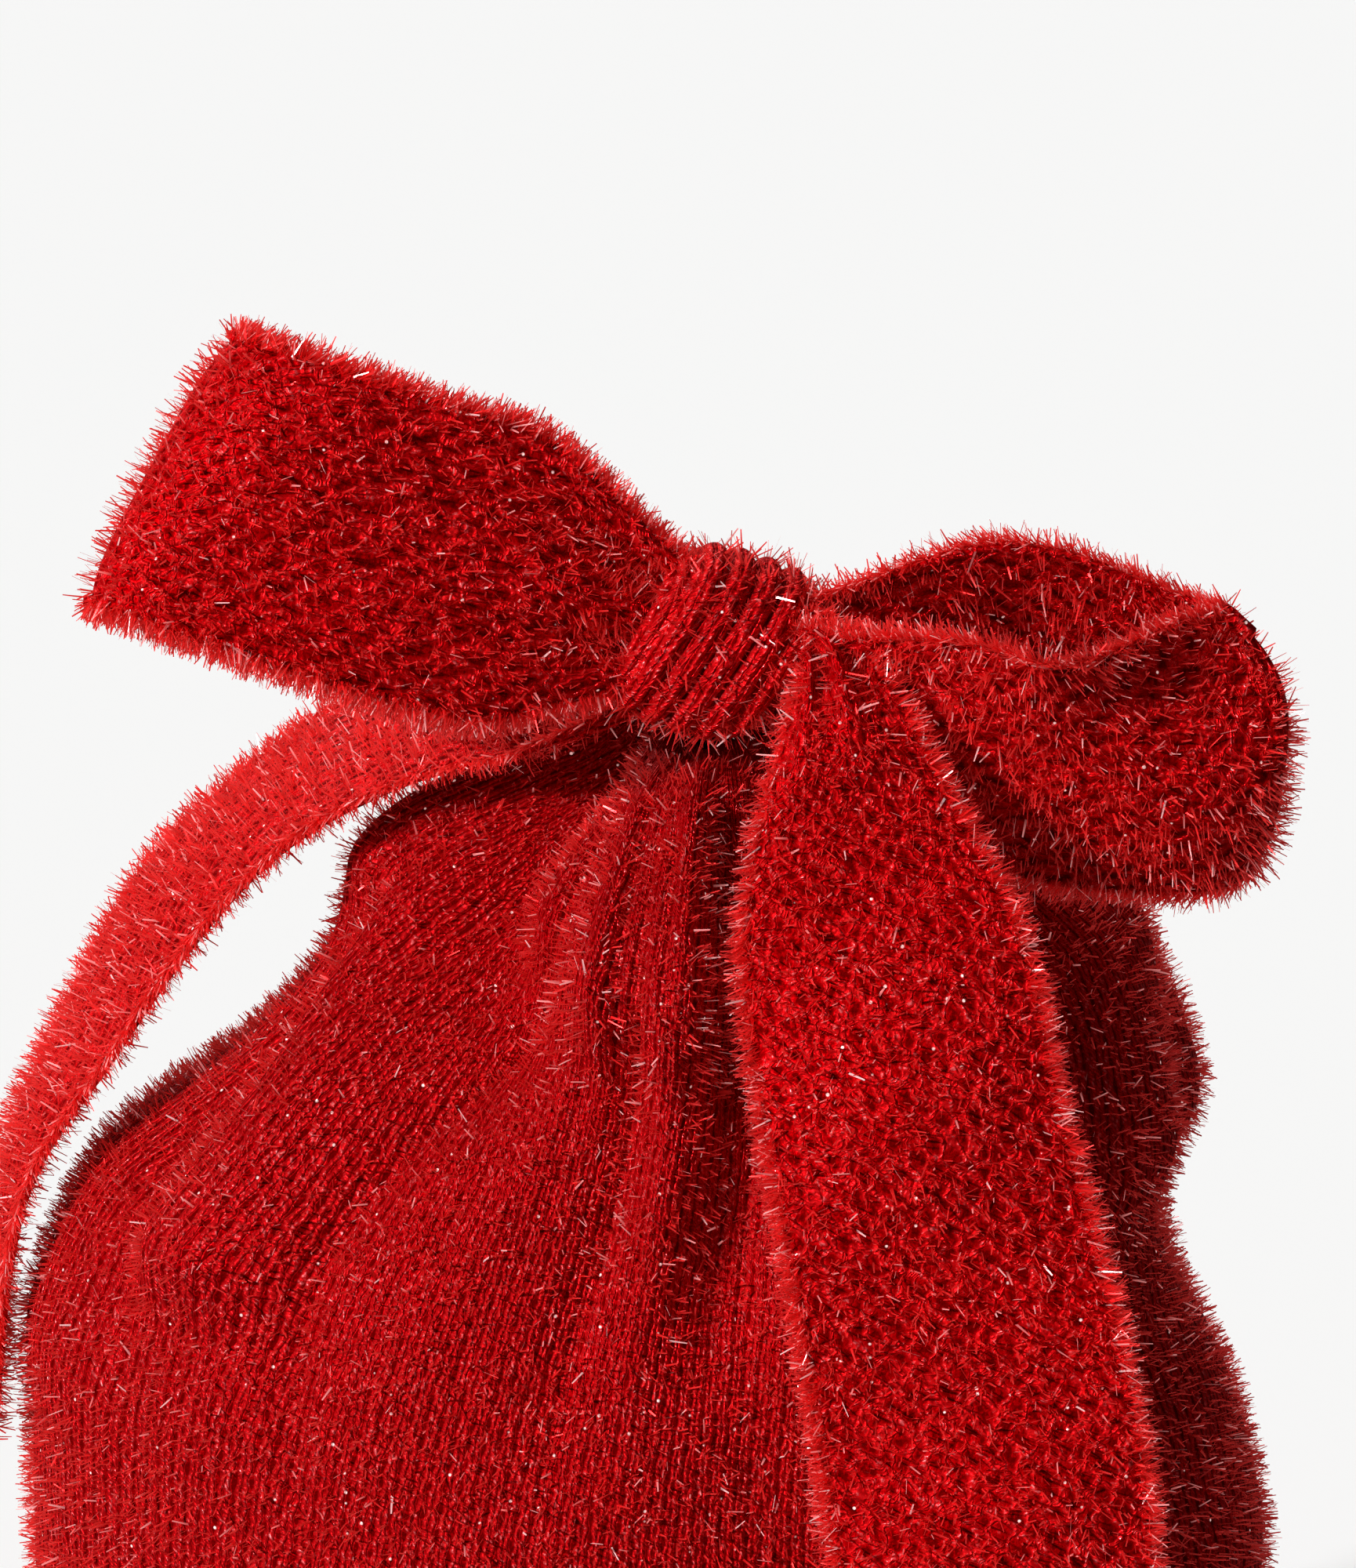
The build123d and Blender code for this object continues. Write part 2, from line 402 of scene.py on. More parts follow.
def mouth_shape(s, t):
    turn = (s - 0.5) * 2 * math.pi
    profile = path(mouth_profile, t)
    pleat = 1 - ridge(turn + wander(turn, np.full_like(turn, neck_z)), fine, 0.4)
    outer = 1 - ease(t, 0.55, 0.8)
    radius = profile[:, 0] - 1.3 * pleat * outer
    near_rim = ease(profile[:, 1], 0.5 * mouth_tall, 0.9 * mouth_tall)
    rise = profile[:, 1] + (0.9 * np.sin(3 * turn + 1) - 0.9 * pleat) * near_rim
    x = neck[0] + radius * np.sin(turn)
    return np.stack([x, neck[1] - radius * np.cos(turn), neck_z - 0.4 + rise], axis=-1)


mouth_cloth = thicken(sheet("mouth_gathers", mouth_shape, 230, 60, 90, 36), 0.7)
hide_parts("mouth_hem")

# %% [markdown]
# ## The tie
# The tie is one strip of knit. Where the knot grips it, it is crumpled to less than half its width, and it opens
# out to its full width a short way from the knot. Each loop is a strip whose path leaves the knot and comes back.

# %% Loop frames
loop_axis = {side: unit(hinges[side] - knot) for side in ("left_loop", "right_loop")}
lean = {"left_loop": math.radians(20), "right_loop": math.radians(-28)}
half_band, gripped_half = 16.2, 7.0  # half the strip's width, spread out and in the knot's grip
loop_start = 5.0
strip_wall = 0.9


def loop_axes(side):
    """Directions along the loop, through its gap towards the front, and across its band."""
    out = loop_axis[side]
    upright = unit(np.array([0, 0, 1.0]) - out * out[2])
    back = unit(np.cross(upright, out))
    back = back if back[1] > 0 else -back
    across = math.cos(lean[side]) * upright + math.sin(lean[side]) * back
    front = math.sin(lean[side]) * upright - math.cos(lean[side]) * back
    return out, front, across


# %% Loop shape
def loop_shape(side, length, gap, open_at, low_open_at, wave, skew, drop, rolled):
    """A loop's formula. Length and gap are its size, and open_at and low_open_at say how far out its upper and
    lower edges are spread. Wave ripples it, skew and drop slope it, and rolled turns its far end back."""
    out, front, across = loop_axes(side)
    flip = -1 if side == "left_loop" else 1

    def shape(s, t):
        around = 2 * math.pi * s
        far = (1 - np.cos(around)) / 2
        side_of_band = (2 * t - 1) * flip
        reach_here = length + skew * side_of_band - 1.6 * np.abs(side_of_band) ** 5
        reach_here = reach_here - rolled * 6.5 * np.maximum(side_of_band, 0) ** 3
        u = loop_start + (reach_here - loop_start) * far
        v = gap / 0.74 * np.sin(around) * np.abs(np.sin(around / 2)) ** 1.3
        v = v + 0.9 * np.sign(0.5 - s) * (1 - far)
        opened = np.where(side_of_band > 0, ease(u, 3, open_at), ease(u, 3, low_open_at))
        half = gripped_half + (half_band - gripped_half) * opened
        top_end = rolled * ease(side_of_band, -0.2, 1.0) * ease(u, 0.48 * length, 0.86 * length)
        v = v * (1 - 0.78 * top_end)
        crumple = 1 - ease(u, 9, 27)
        w = side_of_band * half - drop * ease(u, 12, 40)
        v = v + crumple * 1.7 * np.sin(side_of_band * 7.5 + 1.2 * np.sign(0.5 - s))
        v = v + np.sign(0.5 - s) * (1.3 * (1 - side_of_band**2) - 0.5) * opened
        v = v + wave * np.sin(u / 8.5 + 2.2 * side_of_band) * opened * (1 - ease(u, length - 14, length))
        turned_back = (top_end * np.maximum(w, 0))[:, None] * np.array([0, 0.70, 0.06])
        return knot + out * u[:, None] + front * v[:, None] + across * w[:, None] + turned_back

    return shape


left_loop_shape = loop_shape(
    "left_loop", length=64.0, gap=7.0, open_at=30.0, low_open_at=25.0, wave=0.7, skew=-2.8, drop=1.7, rolled=0.0
)
right_loop_shape = loop_shape(
    "right_loop", length=62.5, gap=9.5, open_at=30.0, low_open_at=36.0, wave=0.8, skew=-2.0, drop=0.8, rolled=1.0
)
strip_wales, strip_rows = 9, 44


def strip(name, shape, columns, length):
    """A loop or tail of the tie, with the knit's ribs running along it."""
    return thicken(sheet(name, shape, columns, strip_rows, strip_wales, length, "s"), strip_wall)


left_loop_cloth = strip("left_loop_cloth", left_loop_shape, 200, 124.0)
right_loop_cloth = strip("right_loop_cloth", right_loop_shape, 200, 124.0)
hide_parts("left_loop")
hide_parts("right_loop")


# %% [markdown]
# A tail is a strip between two edge curves. Each edge is a short row of points from the knot to the cut end, and
# the cloth between them bulges a little, as a knitted strip does when it curls back at its edges.

# %% Tail shape
def tail_shape(edge_a, edge_b, bulge, facing):
    facing = unit(np.array(facing, float))

    def shape(s, t):
        a, b = path(edge_a, s), path(edge_b, s)
        middle_line = a * (1 - t[:, None]) + b * t[:, None]
        side_of_band = 2 * t - 1
        crumple = 1 - ease(s, 0.04, 0.22)
        curl = bulge * (1 - side_of_band**2) - 0.6 * bulge + crumple * 1.5 * np.sin(side_of_band * 7)
        curl = curl + 0.7 * np.sin(s * 17 + 1.5 * side_of_band) * (1 - crumple)
        return middle_line + facing * curl[:, None]

    return shape


def below_knot(points):
    """Points given as x, y and the height from the knot's centre."""
    return [(x, y, knot[2] + z) for x, y, z in points]


right_tail_left_edge = below_knot([
    (11.5, -21.0, -2.0), (16.5, -27.5, 0.5), (15.0, -30.5, -6.0), (12.6, -33.0, -14.0), (10.6, -37.0, -27.0),
    (12.2, -42.5, -43.0), (15.2, -46.5, -60.0), (18.6, -50.0, -80.0), (21.6, -53.4, -102.0), (23.2, -55.0, -118.5),
])
right_tail_right_edge = below_knot([
    (12.5, -20.0, 4.0), (20.0, -26.0, 5.0), (26.5, -30.0, -2.0), (32.0, -33.0, -11.5), (39.8, -37.5, -26.0),
    (44.0, -42.5, -43.0), (48.8, -46.5, -60.0), (53.0, -50.0, -80.0), (55.4, -53.4, -102.0), (56.6, -55.0, -118.5),
])
left_tail_front_edge = below_knot([
    (0.0, -21.0, -5.0), (-7.5, -19.0, -9.5), (-14.0, -15.5, -13.0), (-25.0, -10.5, -17.0), (-36.0, -10.0, -23.5),
    (-46.0, -10.0, -32.0), (-55.0, -10.0, -42.0), (-62.0, -10.0, -53.5), (-69.0, -10.0, -66.5),
    (-73.0, -10.0, -80.5), (-75.0, -10.0, -97.5),
])
left_tail_back_edge = below_knot([
    (0.0, -13.0, -4.0), (-7.0, -9.5, -7.5), (-15.0, 1.0, -11.5), (-26.5, 19.0, -15.7), (-38.0, 22.5, -22.0),
    (-47.5, 22.5, -30.5), (-56.8, 22.5, -40.5), (-64.5, 22.5, -51.8), (-71.0, 22.5, -64.8),
    (-74.5, 22.5, -79.7), (-76.0, 22.5, -97.5),
])
right_tail_shape = tail_shape(right_tail_left_edge, right_tail_right_edge, 1.6, (0.15, -0.93, 0.33))
left_tail_shape = tail_shape(left_tail_back_edge, left_tail_front_edge, 1.4, (-0.7, 0.0, 0.7))
right_tail_cloth = strip("right_tail_cloth", right_tail_shape, 190, 130)
left_tail_cloth = strip("left_tail_cloth", left_tail_shape, 190, 125)
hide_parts("right_tail")
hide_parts("left_tail")

# %% [markdown]
# The knot is a turn of the strip over the bow's centre. It is fuller in the middle than at its edges, which tuck
# in where the loops and tails come out. The band behind it goes round the gathers.

# %% Knot
knot_tilt = math.radians(20)
knot_along = np.array([math.cos(knot_tilt), 0, -math.sin(knot_tilt)])
knot_up = np.array([math.sin(knot_tilt), 0, math.cos(knot_tilt)])


def knot_shape(s, t):
    around = 2 * math.pi * s
    side_of_band = 2 * t - 1
    full = np.sqrt(1 - 0.75 * side_of_band**6) * (1 - 0.07 * side_of_band**2)
    up = np.sign(np.cos(around)) * np.abs(np.cos(around)) ** 0.72
    out = np.sign(np.sin(around)) * np.abs(np.sin(around)) ** 0.72
    pleat = 1.25 * np.abs(np.sin(2.8 * math.pi * side_of_band + 0.6)) ** 0.6
    tall = knot_half_tall * full - 0.5 + pleat
    deep = knot_half_deep * full - 0.5 + pleat
    u = knot_half_wide * side_of_band + 2.1 * up * full - 0.8
    point = knot + knot_along * u[:, None] + knot_up * (up * tall)[:, None]
    point[:, 1] -= out * deep
    return point


knot_cloth = thicken(sheet("knot_cloth", knot_shape, 120, 90, 9, 52, "s"), strip_wall)
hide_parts("knot_wrap")

# %% Neck band
ring_radius = (ring_high[0] - ring_low[0]) / 2 - 1.3
ring_middle, ring_half = (ring_low[2] + ring_high[2]) / 2, (ring_high[2] - ring_low[2]) / 2


def ring_shape(s, t):
    turn = (s - 0.5) * 2 * math.pi
    side_of_band = 2 * t - 1
    crease = 0.35 * np.sin(side_of_band * 9 + 2 * np.sin(turn * 2))
    radius = ring_radius + 0.9 * np.sqrt(1 - 0.8 * side_of_band**4) + crease
    x = neck[0] + radius * np.sin(turn)
    return np.stack([x, neck[1] - radius * np.cos(turn), ring_middle + side_of_band * ring_half], axis=-1)


band_cloth = thicken(sheet("neck_band_cloth", ring_shape, 140, 36, 7, 74, "s"), 0.8)
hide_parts("neck_band")

# %% [markdown]
# ## The pile
# Tinsel yarn is a thread with thousands of short flat filaments caught in it. They lean over the cloth and stand
# off its edges, and each catches the light its own way. Hair particles would be lost in a plain mesh export, so
# each filament is a real face: a grid is cut into loose faces, and every face is moved to where it grows.

# %% Where filaments grow
dice = np.random.default_rng(5)


def places(shape, count, s_range=(0, 1), t_range=(0, 1)):
    """Random points of a sheet, spread evenly over its area, with the directions along s and t and outwards."""
    s = dice.uniform(*s_range, 2 * count)
    t = dice.uniform(*t_range, 2 * count)
    step = 0.002
    here = shape(s, t)
    over = shape(np.clip(s + step, 0, 1), t) - shape(np.clip(s - step, 0, 1), t)
    along = shape(s, np.clip(t + step, 0, 1)) - shape(s, np.clip(t - step, 0, 1))
    normal = np.cross(over, along)
    area = np.linalg.norm(normal, axis=1)
    chosen = dice.choice(2 * count, count, replace=False, p=area / area.sum())
    return here[chosen], unit(over[chosen]), unit(along[chosen]), unit(normal[chosen])


def loose_faces(name, count):
    """A mesh of exactly count separate square faces."""
    across = int(math.sqrt(count)) + 1
    grid = bmesh.new()
    bmesh.ops.create_grid(grid, x_segments=across, y_segments=across, size=0.5)
    bmesh.ops.delete(grid, geom=grid.faces[count:], context="FACES")
    bmesh.ops.split_edges(grid, edges=grid.edges[:])
    mesh = bpy.data.meshes.new(name)
    grid.to_mesh(mesh)
    grid.free()
    return mesh


def filaments(name, roots, directions, lengths, widths):
    """One loose face for each filament, narrower at its tip, with a random tone that picks its colour and which
    filaments are painted as glints.
    """
    count = len(roots)
    mesh = loose_faces(name, count)
    corners = np.empty(len(mesh.loops), int)
    mesh.loops.foreach_get("vertex_index", corners)
    corners = corners.reshape(-1, 4)
    flat = np.empty(len(mesh.vertices) * 3)
    mesh.vertices.foreach_get("co", flat)
    flat = flat.reshape(-1, 3)
    centre = flat[corners].mean(axis=1, keepdims=True)
    sideways = np.sign(flat[corners][..., 0] - centre[..., 0])
    tip = (flat[corners][..., 1] > centre[..., 1]).astype(float)
    broad_way = unit(np.cross(directions, unit(dice.normal(size=(count, 3)))))
    half = widths[:, None] / 2 * (1 - 0.45 * tip) * sideways
    spots = roots[:, None] + directions[:, None] * (lengths[:, None] * tip)[..., None]
    spots = spots + broad_way[:, None] * half[..., None]
    flat[corners] = spots * MM
    mesh.vertices.foreach_set("co", flat.ravel())
    tone = mesh.attributes.new("tone", "FLOAT", "FACE")
    tone.data.foreach_set("value", dice.uniform(0, 1, count).astype(np.float32))
    tip_of = mesh.attributes.new("tip", "FLOAT", "CORNER")
    tip_of.data.foreach_set("value", tip.ravel().astype(np.float32))
    mesh.update()
    print(name, count, "filaments")
    return link(name, mesh)


rooted = 0.3  # how deep a filament starts under the surface, millimetres
inner_share = 0.42  # share of a strip's filaments that are on its inner side


def pile(name, shape, count, t_range=(0, 1), both_sides=False, longest=3.0):
    """Filaments over a sheet, leaning every way, on its outer side or on both."""
    here, over, along, normal = places(shape, count, t_range=t_range)
    side = np.where(dice.random(count) < inner_share, -1.0, 1.0) if both_sides else np.ones(count)
    normal = normal * side[:, None]
    lean_out = np.radians(np.abs(dice.normal(0, 30, count)).clip(0, 84))
    turn = dice.uniform(0, 2 * math.pi, count)
    lying = over * np.cos(turn)[:, None] + along * np.sin(turn)[:, None]
    way = unit(normal * np.cos(lean_out)[:, None] + lying * np.sin(lean_out)[:, None])
    lengths = dice.uniform(0.4, 1.0, count) * longest
    widths = dice.uniform(0.14, 0.30, count)
    wall = np.where(side < 0, strip_wall, 0.0)
    roots = here + normal * (wall - rooted)[:, None]
    return filaments(name, roots, way, lengths, widths)


edges = [((0.0, 0.03), -1), ((0.97, 1.0), 1)]  # range of t at each edge of a strip, and which way is out
fringe_longest = 2.9


def fringe(name, shape, count):
    """Filaments standing off both edges of a strip."""
    parts = []
    for edge, away in edges:
        here, _, along, _ = places(shape, count // len(edges), (0.03, 0.97), edge)
        spread = dice.normal(size=(len(here), 3)) * 0.42
        parts.append((here, unit(along * away + spread)))
    roots = np.concatenate([part[0] for part in parts])
    ways = np.concatenate([part[1] for part in parts])
    count = len(roots)
    lengths = dice.uniform(0.5, 1.0, count) * fringe_longest
    return filaments(name, roots, ways, lengths, dice.uniform(0.14, 0.28, count))


# %% Pile on each piece
shoulder = 0.36  # share of the side's length, above which the front is seen closest
front_pile_high = pile("front_pile_high", front_shape, 30000, t_range=(shoulder, 0.995), longest=2.5)
front_pile_low = pile("front_pile_low", front_shape, 19000, t_range=(0.02, shoulder), longest=2.5)
back_pile_high = pile("back_pile_high", back_shape, 28000, t_range=(shoulder, 0.995), longest=2.5)
back_pile_low = pile("back_pile_low", back_shape, 18000, t_range=(0.02, shoulder), longest=2.5)
mouth_pile = pile("mouth_pile", mouth_shape, 1800, t_range=(0.0, 0.9), longest=2.6)
left_loop_pile = pile("left_loop_pile", left_loop_shape, 11000, both_sides=True)
right_loop_pile = pile("right_loop_pile", right_loop_shape, 11000, both_sides=True)
left_tail_pile = pile("left_tail_pile", left_tail_shape, 10000, both_sides=True)
right_tail_pile = pile("right_tail_pile", right_tail_shape, 10000, both_sides=True)
knot_pile = pile("knot_pile", knot_shape, 1300)
band_pile = pile("neck_band_pile", ring_shape, 1200, longest=2.2)
fringe_count = 6400
left_loop_fringe = fringe("left_loop_fringe", left_loop_shape, fringe_count)
right_loop_fringe = fringe("right_loop_fringe", right_loop_shape, fringe_count)
left_tail_fringe = fringe("left_tail_fringe", left_tail_shape, fringe_count)
right_tail_fringe = fringe("right_tail_fringe", right_tail_shape, fringe_count)

# %% [markdown]
# ## Finishes
# Node arithmetic is written as ordinary expressions. A Wire is one value in a material, and adding or multiplying
# wires adds the Math nodes.

# %% Wires
class Wire:
    """One value in a material's node tree."""

    def __init__(self, finish, socket):
        self.finish, self.socket = finish, socket

    def _math(self, operation, *values):
        return self.finish.add("Math", {"operation": operation}, *values)

    def __add__(self, other):
        return self._math("ADD", self, other)

    def __sub__(self, other):
        return self._math("SUBTRACT", self, other)

    def __mul__(self, other):
        return self._math("MULTIPLY", self, other)

    def __truediv__(self, other):
        return self._math("DIVIDE", self, other)

    def __rsub__(self, other):
        return self._math("SUBTRACT", other, self)

    __radd__, __rmul__ = __add__, __mul__

    def sin(self):
        return self._math("SINE", self)

    def root(self):
        return self._math("SQRT", self)

    def between(self, low, high):
        """0 below low and 1 above high, with a smooth step between."""
        return self.finish.add("MapRange", {"interpolation_type": "SMOOTHSTEP"}, self, low, high)

    def from_whole(self):
        """Distance to the nearest whole number."""
        return self._math("PINGPONG", self, 0.5)

    def other(self, output):
        """Another output of the same node."""
        return Wire(self.finish, self.socket.node.outputs[output])

    def least(self, other):
        return self._math("MINIMUM", self, other)

    def above_zero(self):
        return self._math("MAXIMUM", self, 0.0)


class Finish:
    """A material on the Principled shader."""

    def __init__(self, name, **fixed):
        self.material = bpy.data.materials.new(name)
        self.material.use_nodes = True
        self.tree = self.material.node_tree
        self.shader = self.tree.nodes["Principled BSDF"]
        for socket, value in fixed.items():
            self.shader.inputs[socket.replace("_", " ")].default_value = value

    def add(self, kind, settings, *values, output=0, **named):
        node = self.tree.nodes.new("ShaderNode" + kind)
        for setting, value in settings.items():
            setattr(node, setting, value)
        for place, value in [*enumerate(values), *named.items()]:
            self.give(node.inputs[place], value)
        return Wire(self, node.outputs[output])

    def give(self, socket, value):
        if isinstance(value, Wire):
            self.tree.links.new(value.socket, socket)
        else:
            socket.default_value = value

    def mix(self, factor, first, second):
        node = self.tree.nodes.new("ShaderNodeMix")
        node.data_type = "RGBA"
        self.give(node.inputs["Factor"], factor)
        self.give(node.inputs["A"], first)
        self.give(node.inputs["B"], second)
        return Wire(self, node.outputs["Result"])

    def feed(self, **links):
        for socket, value in links.items():
            self.give(self.shader.inputs[socket.replace("_", " ")], value)

    def wear(self, *pieces):
        for piece in pieces:
            piece.data.materials.append(self.material)


def colour(red, green, blue):
    return (red, green, blue, 1.0)


# %% [markdown]
# The knit is a net of twisted strands, two to each rib. Neighbours lean together and apart again, and leave gaps
# between them, painted dark as the shade inside the cloth. The distance to the nearest strand gives the colour, the
# bump and the gloss. The strands are painted lighter on their twists, and small glints are painted on and glow.

# %% Knit
bead = 0.6  # twists of the yarn, millimetres along a strand


def knit_finish(name, strand, pair, swing, period, hole, stray, depth):
    """In ribs across: half a strand's width, the way from a rib's first strand to its second, how far they swing
    to the side, and where a hole starts and is full. The swing's period is in millimetres along. Stray is how
    far a strand wanders, coarsely and finely across and then along. Depth is 1 for the brightest dye."""
    finish = Finish(name, Metallic=0.45, Specular_IOR_Level=0.05, Emission_Strength=0.6)
    finish.shader.inputs["Specular Tint"].default_value = colour(1.0, 0.1, 0.1)
    uv = finish.add("SeparateXYZ", {}, finish.add("UVMap", {"uv_map": "UVMap"}))
    across, along = uv, uv.other(1)
    place = finish.add("TexCoord", {}, output="Object")
    uneven = finish.add("TexNoise", {}, Vector=place, Scale=260.0, Detail=2.0) - 0.5
    wobble = finish.add("TexNoise", {}, Vector=place, Scale=800.0, Detail=1.0) - 0.5
    across = across + uneven * stray[0] + wobble * stray[1]
    along = along + uneven * stray[2]
    sway = (along * (2 * math.pi / period)).sin() * swing
    even = (across - sway).from_whole()
    odd = (across + sway - pair).from_whole()
    nearest = even.least(odd)
    share = nearest / strand
    height = (1.0 - share * share).above_zero().root()
    beads = (along * (2 * math.pi / bead) + across * 19.0).sin() * 0.5 + 0.5
    grain = finish.add("TexNoise", {}, Vector=place, Scale=1700.0, Detail=2.0)
    shade = finish.add("TexNoise", {}, Vector=place, Scale=60.0, Detail=3.0)
    on_strand = 1.0 - share.between(0.6, 1.5)
    # The strands are painted lighter, most on the crests of their twists: partly the yarn's own colour and partly a
    # painted highlight.
    rope = on_strand * (0.2 + beads * 0.6 + grain.between(0.35, 0.65) * 0.4)
    in_hole = nearest.between(*hole) * (1.0 - grain.between(0.5, 0.62) * 0.7)
    # Painted glints: small round pale spots in a few random cells, which also glow.
    cell = finish.add("TexVoronoi", {}, Vector=place, Scale=620.0)
    lucky = finish.add("SeparateColor", {}, cell.other(1))
    painted_glint_dot = (1.0 - (cell + grain * 0.12).between(0.12, 0.20)) * lucky.between(0.76, 0.78)
    bright, middle_red = colour(depth, 0.010, 0.014), colour(0.56 * depth, 0.0, 0.002)
    dark_red, painted_hole_shade = colour(0.40 * depth, 0.0, 0.001), colour(0.08, 0.0, 0.0)
    body = finish.mix((grain.between(0.3, 0.7) * 0.5 + shade.between(0.3, 0.7) * 0.5), dark_red, middle_red)
    # Painted shade: the holes are darkened nearly to black for the shade inside the cloth.
    body = finish.mix(in_hole * 0.75, body, painted_hole_shade)
    body = finish.mix(rope, body, bright)
    # Painted glints: pink spots on the crests of the strands' twists.
    painted_bead_glint = grain.between(0.57, 0.64) * on_strand * beads
    body = finish.mix(painted_bead_glint, body, colour(1.0, 0.16, 0.17))
    body = finish.mix(painted_glint_dot, body, colour(1.0, 0.72, 0.70))
    roughness = 0.5 - rope * 0.22 + in_hole * 0.3
    bump = finish.add("Bump", {}, Strength=1.0, Distance=0.0005, Height=height * (0.7 + beads * 0.3) + grain * 0.5)
    # The painted glint spots give off light of their own.
    painted_glow = finish.mix(painted_glint_dot, colour(0.0, 0.0, 0.0), colour(1.0, 0.62, 0.58))
    finish.feed(Base_Color=body, Roughness=roughness, Normal=bump, Emission_Color=painted_glow)
    return finish


sack_knit = knit_finish(
    "sack_knit", strand=0.16, pair=0.38, swing=0.06, period=2.6, hole=(0.16, 0.25), stray=(0.40, 0.2, 3.0), depth=0.74
)
tie_knit = knit_finish(
    "tie_knit", strand=0.13, pair=0.5, swing=0.14, period=3.2, hole=(0.16, 0.30), stray=(0.9, 0.5, 7.0), depth=0.9
)
knot_knit = knit_finish(
    "knot_knit", strand=0.17, pair=0.5, swing=0.05, period=3.6, hole=(0.16, 0.25), stray=(0.3, 0.15, 3.0), depth=0.85
)

# %% [markdown]
# A filament is a thin red film that lets part of the light through. Its tone varies from one to the next. A few are
# painted pink or nearly white as glints, and every tip is painted paler, for light shining through the film. Each
# filament also gives off a little painted light, most of it at its tip, in place of light let through the film and of
# the glints of film that is too fine to be modelled.

# %% Filament film
film = Finish("tinsel_film", Metallic=0.4, Roughness=0.26, Specular_IOR_Level=0.1, Emission_Strength=0.65)
film.shader.inputs["Specular Tint"].default_value = colour(1.0, 0.15, 0.15)
tone = film.add("Attribute", {"attribute_name": "tone"}, output="Fac")
tip = film.add("Attribute", {"attribute_name": "tip"}, output="Fac")
film_colour_and_painted_light = film.mix(tone.between(0.0, 0.8), colour(0.60, 0.0, 0.002), colour(0.95, 0.006, 0.010))
# The tips are painted paler, for light shining through the film.
film_colour_and_painted_light = film.mix(tip * 0.6, film_colour_and_painted_light, colour(1.0, 0.085, 0.08))
# Painted glints: some filaments are painted pink and a few nearly white.
film_colour_and_painted_light = film.mix(tone.between(0.86, 0.88), film_colour_and_painted_light, colour(1.0, 0.36, 0.36))
film_colour_and_painted_light = film.mix(tone.between(0.965, 0.97), film_colour_and_painted_light, colour(1.0, 0.85, 0.85))
# Painted light: every filament glows a little, most at its tip, and a few tips glow pale as glints.
painted_glow = film.mix(tip, colour(0.018, 0.0, 0.0), colour(0.12, 0.011, 0.010))
painted_glow = film.mix(tone.between(0.90, 0.91) * tip, painted_glow, colour(1.0, 0.45, 0.43))
film.feed(Base_Color=film_colour_and_painted_light, Emission_Color=painted_glow)
let_through = film.add("BsdfTranslucent", {}, Color=colour(1.0, 0.07, 0.06))
seen_through = 0.42
both = film.add("MixShader", {}, seen_through, Wire(film, film.shader.outputs[0]), let_through)
film.give(film.tree.nodes["Material Output"].inputs["Surface"], both)

sack_pieces = [front_cloth, back_cloth, base_cloth, mouth_cloth, left_seam, right_seam, foot_seam]
sack_knit.wear(*sack_pieces)
tie_knit.wear(left_loop_cloth, right_loop_cloth, left_tail_cloth, right_tail_cloth)
knot_knit.wear(knot_cloth, band_cloth)
sack_piles = [front_pile_high, front_pile_low, back_pile_high, back_pile_low, mouth_pile]
loop_piles = [left_loop_pile, right_loop_pile, left_loop_fringe, right_loop_fringe]
tail_piles = [left_tail_pile, right_tail_pile, left_tail_fringe, right_tail_fringe]
film.wear(*sack_piles, *loop_piles, *tail_piles, knot_pile, band_pile)

# %% [markdown]
# ## Riding
# The sack's cloth rides on the sack. The knot and the neck band ride on the bow. For each loop and each tail the
# stretch where it leaves the knot is worked out, but its cloth and its pile ride on no body and are left where they
# are.

# %% Bodies
for piece in sack_pieces + sack_piles:
    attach(piece, "sack")
for piece in (knot_cloth, band_cloth, knot_pile, band_pile):
    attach(piece, "bow")

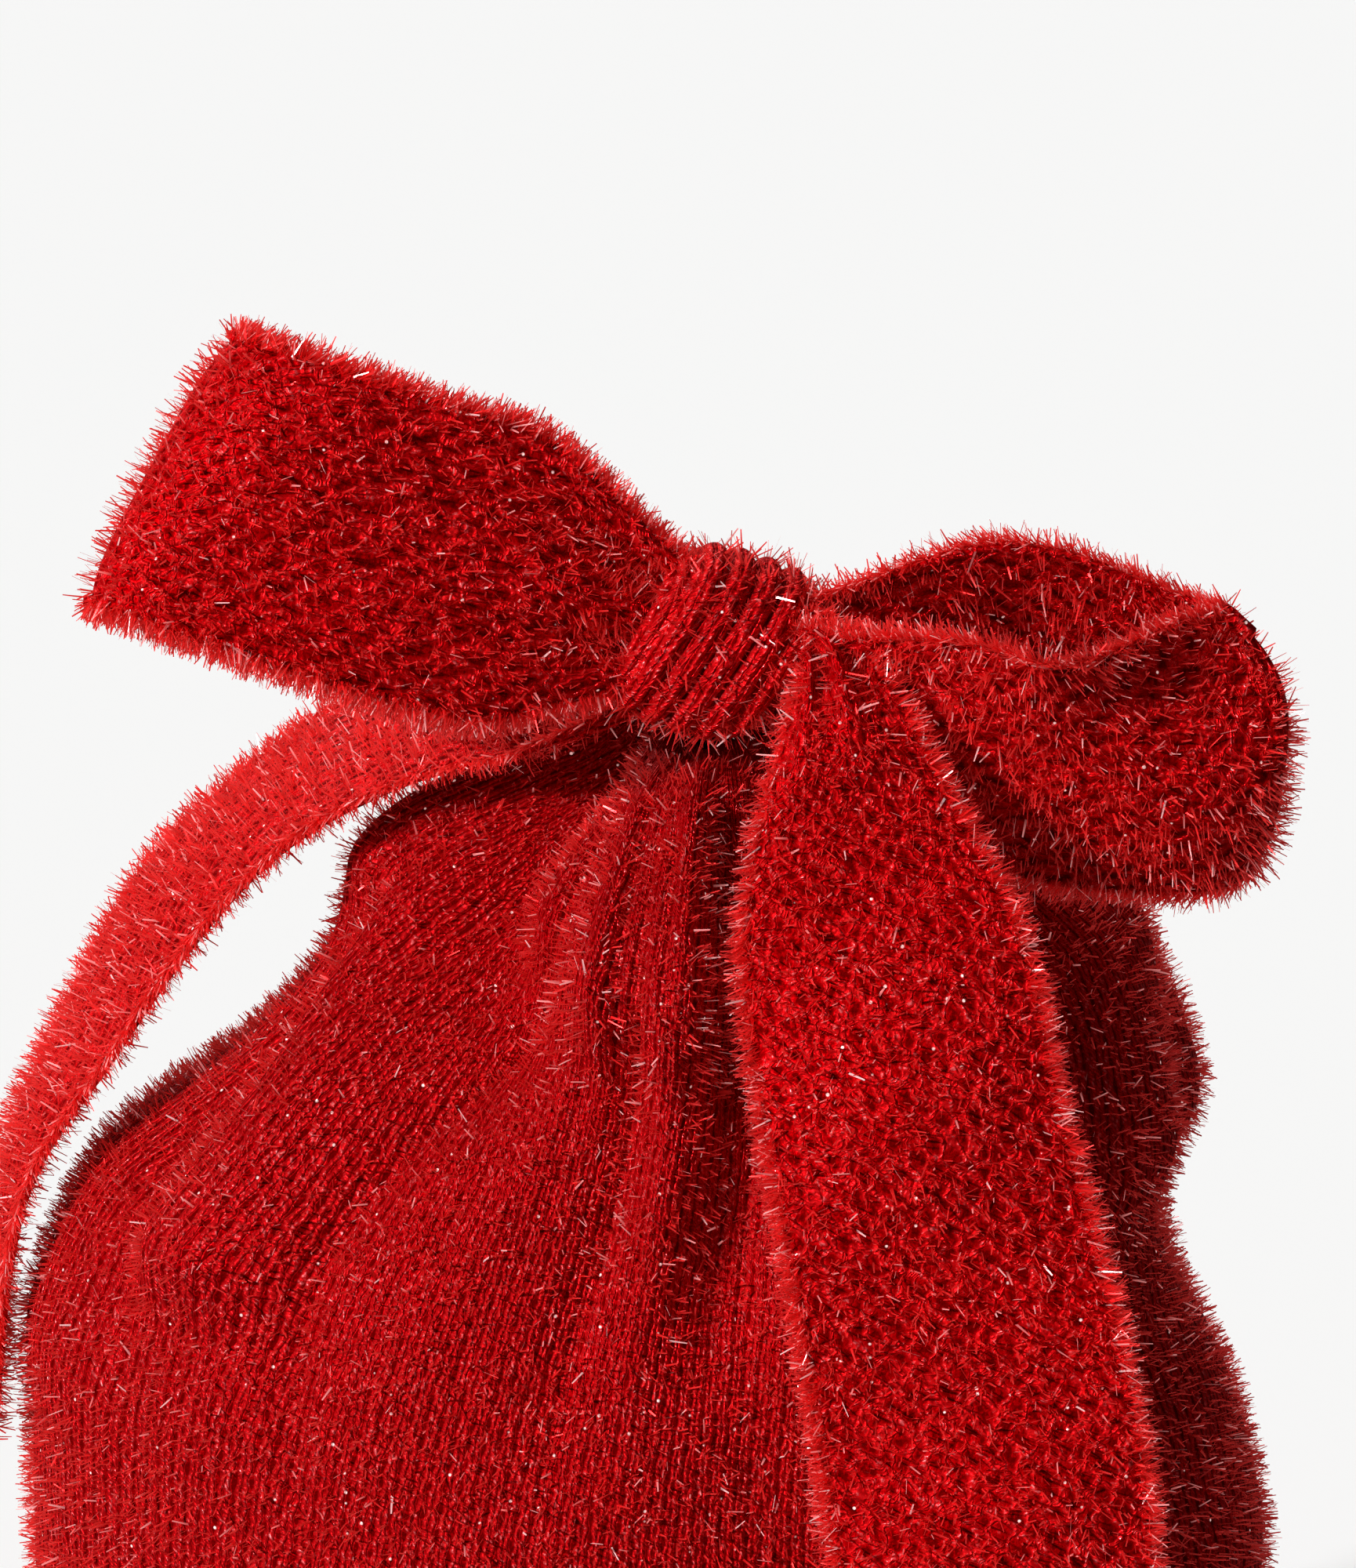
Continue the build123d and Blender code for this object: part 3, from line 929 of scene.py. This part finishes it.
bend_from, bend_to = 7.5, 27.0  # how far from the knot a loop starts and ends its bend, millimetres
bends = {side: (knot + out * bend_from, knot + out * bend_to) for side, out in loop_axis.items()}
bends["left_tail"] = (np.array([-3.0, -14.0, knot[2] - 7.0]), np.array([-20.0, -8.0, knot[2] - 15.0]))
bends["right_tail"] = (np.array([19.0, -26.0, knot[2] + 3.0]), np.array([19.0, -33.0, knot[2] - 15.0]))
flexing = {
    "left_loop": (left_loop_cloth, left_loop_pile, left_loop_fringe),
    "right_loop": (right_loop_cloth, right_loop_pile, right_loop_fringe),
    "left_tail": (left_tail_cloth, left_tail_pile, left_tail_fringe),
    "right_tail": (right_tail_cloth, right_tail_pile, right_tail_fringe),
}
for body, pieces in flexing.items():
    start, end = bends[body]
    for piece in pieces:
        tuple(start * MM)
        tuple(end * MM)
        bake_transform(piece)

# %% [markdown]
# ## Floor and light
# The floor is plain and pale. A lamp from the upper left gives the shadows to the right of each fold, a broad one
# from behind makes the pile glow along every outline, and a weak light from all round fills the shadows. The floor
# throws no light back, so the shadows stay deep.

# %% Floor
ground = bmesh.new()
bmesh.ops.create_grid(ground, x_segments=1, y_segments=1, size=6.0)
floor_mesh = bpy.data.meshes.new("floor")
ground.to_mesh(floor_mesh)
ground.free()
floor = link("floor", floor_mesh)
paint = Finish("floor_paint", Base_Color=colour(0.86, 0.86, 0.855), Roughness=0.9, Specular_IOR_Level=0.0)
paint.feed(Emission_Color=colour(1.0, 1.0, 0.995), Emission_Strength=0.155)
paint.wear(floor)
floor.visible_diffuse = floor.visible_glossy = False

# %% Lamps
def sun(name, energy, angle, direction):
    light = bpy.data.lights.new(name, "SUN")
    light.energy, light.angle = energy, math.radians(angle)
    lamp = bpy.data.objects.new(name, light)
    bpy.context.scene.collection.objects.link(lamp)
    lamp.rotation_mode = "QUATERNION"
    lamp.rotation_quaternion = Vector(direction).to_track_quat("-Z", "Y")


sun("key", 4.2, 6, (0.72, 0.55, -0.42))
sun("rim", 1.6, 40, (0.32, -0.82, -0.47))
world = bpy.data.worlds.new("world")
world.use_nodes = True
world.node_tree.nodes["Background"].inputs["Color"].default_value = colour(1.0, 1.0, 1.0)
world.node_tree.nodes["Background"].inputs["Strength"].default_value = 0.095
bpy.context.scene.world = world
bpy.context.scene.view_settings.view_transform = "Standard"
